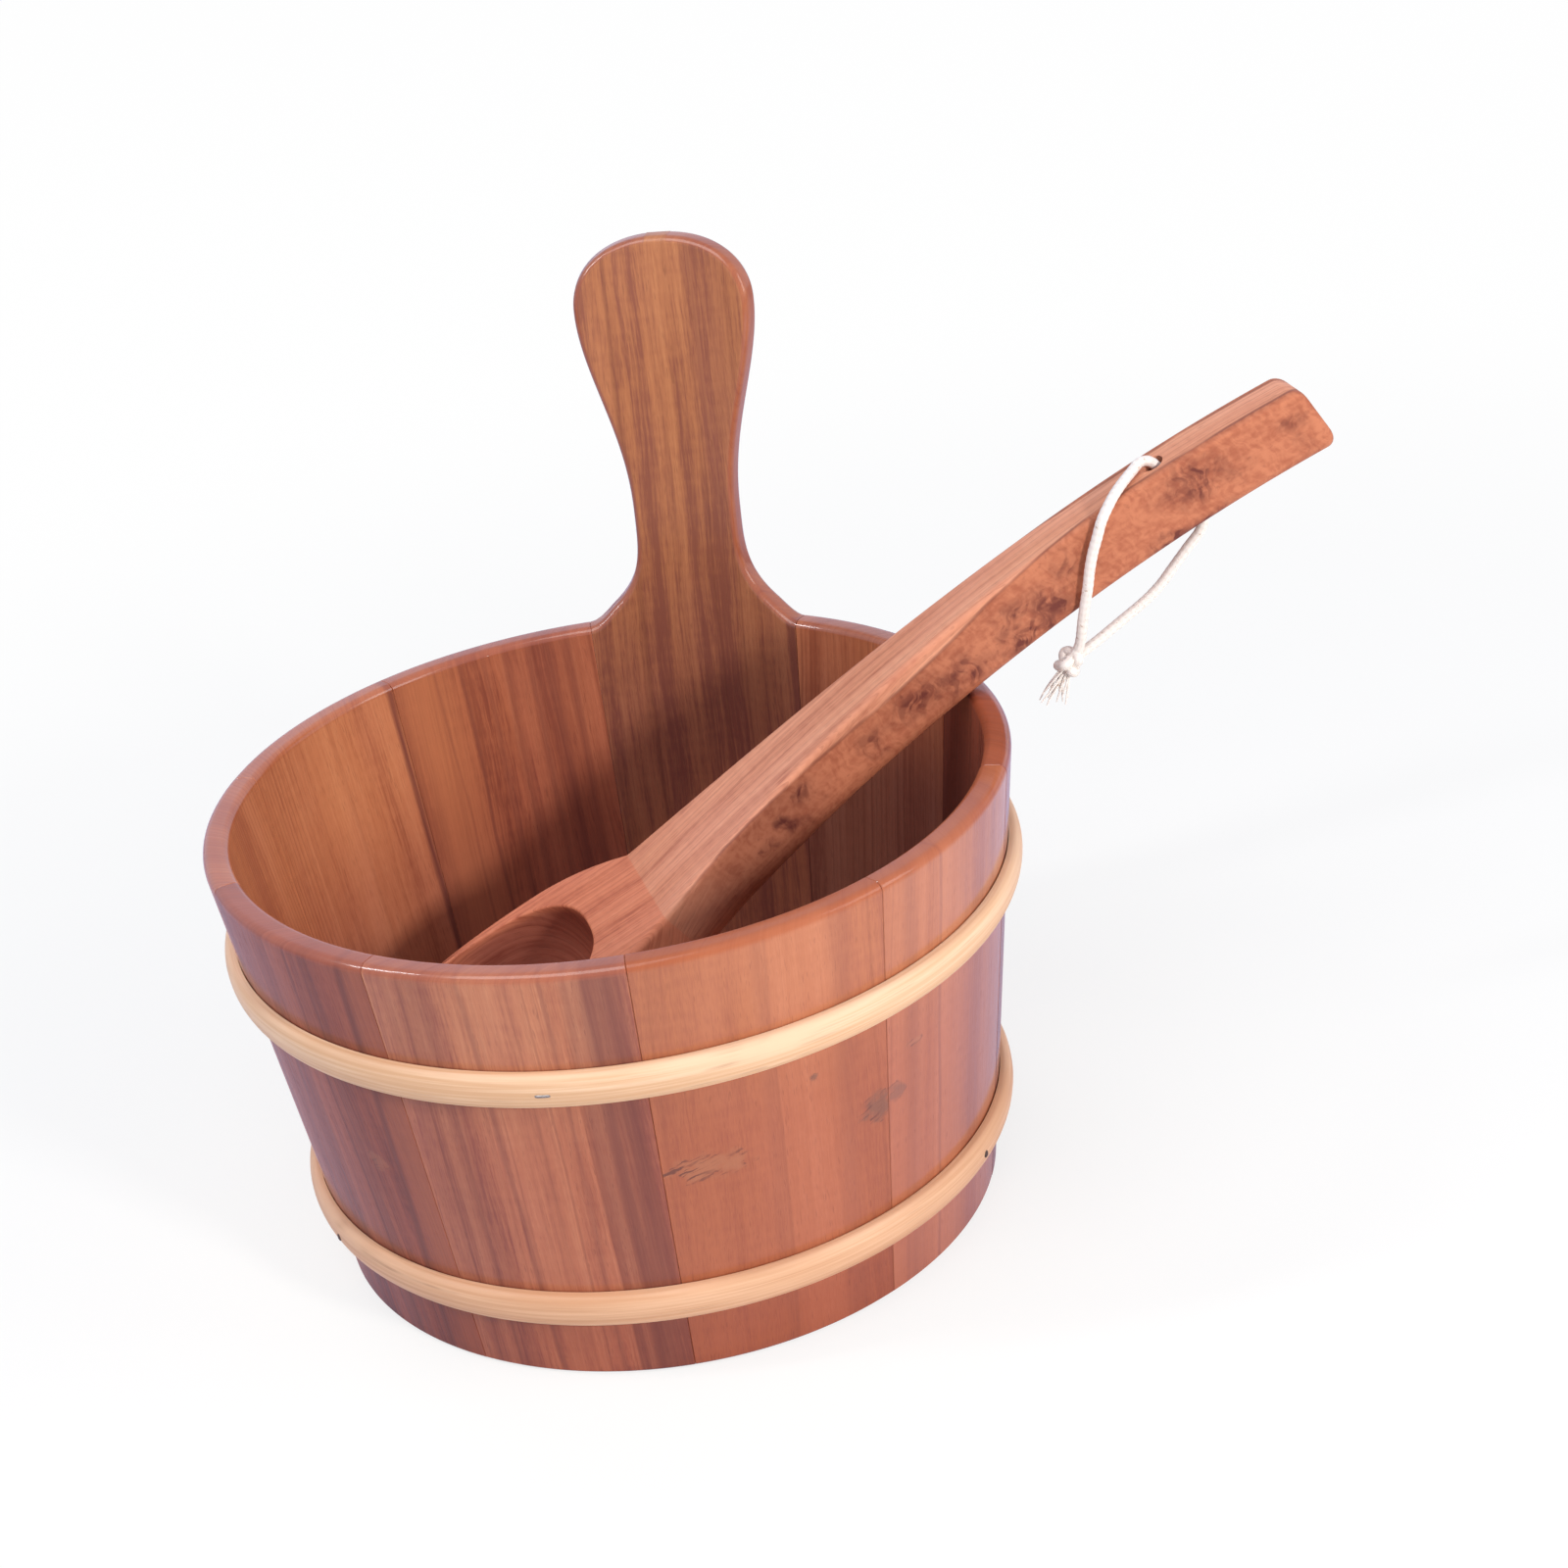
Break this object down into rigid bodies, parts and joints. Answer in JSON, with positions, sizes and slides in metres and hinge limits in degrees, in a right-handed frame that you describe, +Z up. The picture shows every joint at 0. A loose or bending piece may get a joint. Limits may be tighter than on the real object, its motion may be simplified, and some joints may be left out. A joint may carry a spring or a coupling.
{
  "type": "sauna bucket",
  "caption": "Tapered wooden sauna bucket of coopered staves bound by pale half-round hoops, with one stave rising as a paddle handle and a carved ladle with a cord loop resting inside.",
  "frame": {"origin": "middle of the footprint of the bucket and ladle together, cord left out, at the height of the foot that the bucket stands on", "axes": "+Z up; +Y towards the handle stave; +X to the right when the handle is at the back, the side the ladle's handle leans out over"},
  "size_m": [0.342, 0.2662, 0.2766],
  "materials": {
    "stave_cedar": "reddish-brown cedar, straight grain, satin varnish",
    "handle_cedar": "brown cedar, dark straight streaks, satin varnish",
    "base_cedar": "cedar boards, planed",
    "ladle_cedar": "cedar, straight grain on top and mottled figure on the sides, thin varnish",
    "rattan": "pale half-round rattan, fine lengthwise fibre, satin",
    "bamboo": "plain split bamboo",
    "steel": "dull bright wire",
    "cotton": "soft undyed cotton cord"
  },
  "bodies": {
    "bucket": {"handle_stave": "handle_cedar", "stave_1": "stave_cedar", "stave_2": "stave_cedar", "stave_3": "stave_cedar", "stave_4": "stave_cedar", "stave_5": "stave_cedar", "stave_6": "stave_cedar", "stave_7": "stave_cedar", "stave_8": "stave_cedar", "stave_9": "stave_cedar", "base_board_1": "base_cedar", "base_board_2": "base_cedar", "base_board_3": "base_cedar", "upper_hoop": "rattan", "lower_hoop": "rattan", "stave_peg_low_1": "bamboo", "stave_peg_high_1": "bamboo", "stave_peg_low_2": "bamboo", "stave_peg_high_2": "bamboo", "stave_peg_low_3": "bamboo", "stave_peg_high_3": "bamboo", "stave_peg_low_4": "bamboo", "stave_peg_high_4": "bamboo", "stave_peg_low_5": "bamboo", "stave_peg_high_5": "bamboo", "stave_peg_low_6": "bamboo", "stave_peg_high_6": "bamboo", "stave_peg_low_7": "bamboo", "stave_peg_high_7": "bamboo", "stave_peg_low_8": "bamboo", "stave_peg_high_8": "bamboo", "stave_peg_low_9": "bamboo", "stave_peg_high_9": "bamboo", "stave_peg_low_10": "bamboo", "stave_peg_high_10": "bamboo", "base_peg_1": "bamboo", "base_peg_2": "bamboo", "base_peg_3": "bamboo", "base_peg_4": "bamboo", "upper_hoop_staple": "steel", "upper_hoop_joint_staple": "steel", "lower_hoop_joint_staple": "steel", "lower_hoop_brad_left": "steel", "lower_hoop_brad_right": "steel"},
    "ladle": {"ladle": "ladle_cedar", "cord": "cotton", "cord_knot": "cotton"}
  },
  "joints": [
    {"name": "ladle_lift", "type": "slide", "parent": "bucket", "child": "ladle", "axis": [0, 0, 1], "range_m": [0, 0.3]}
  ]
}
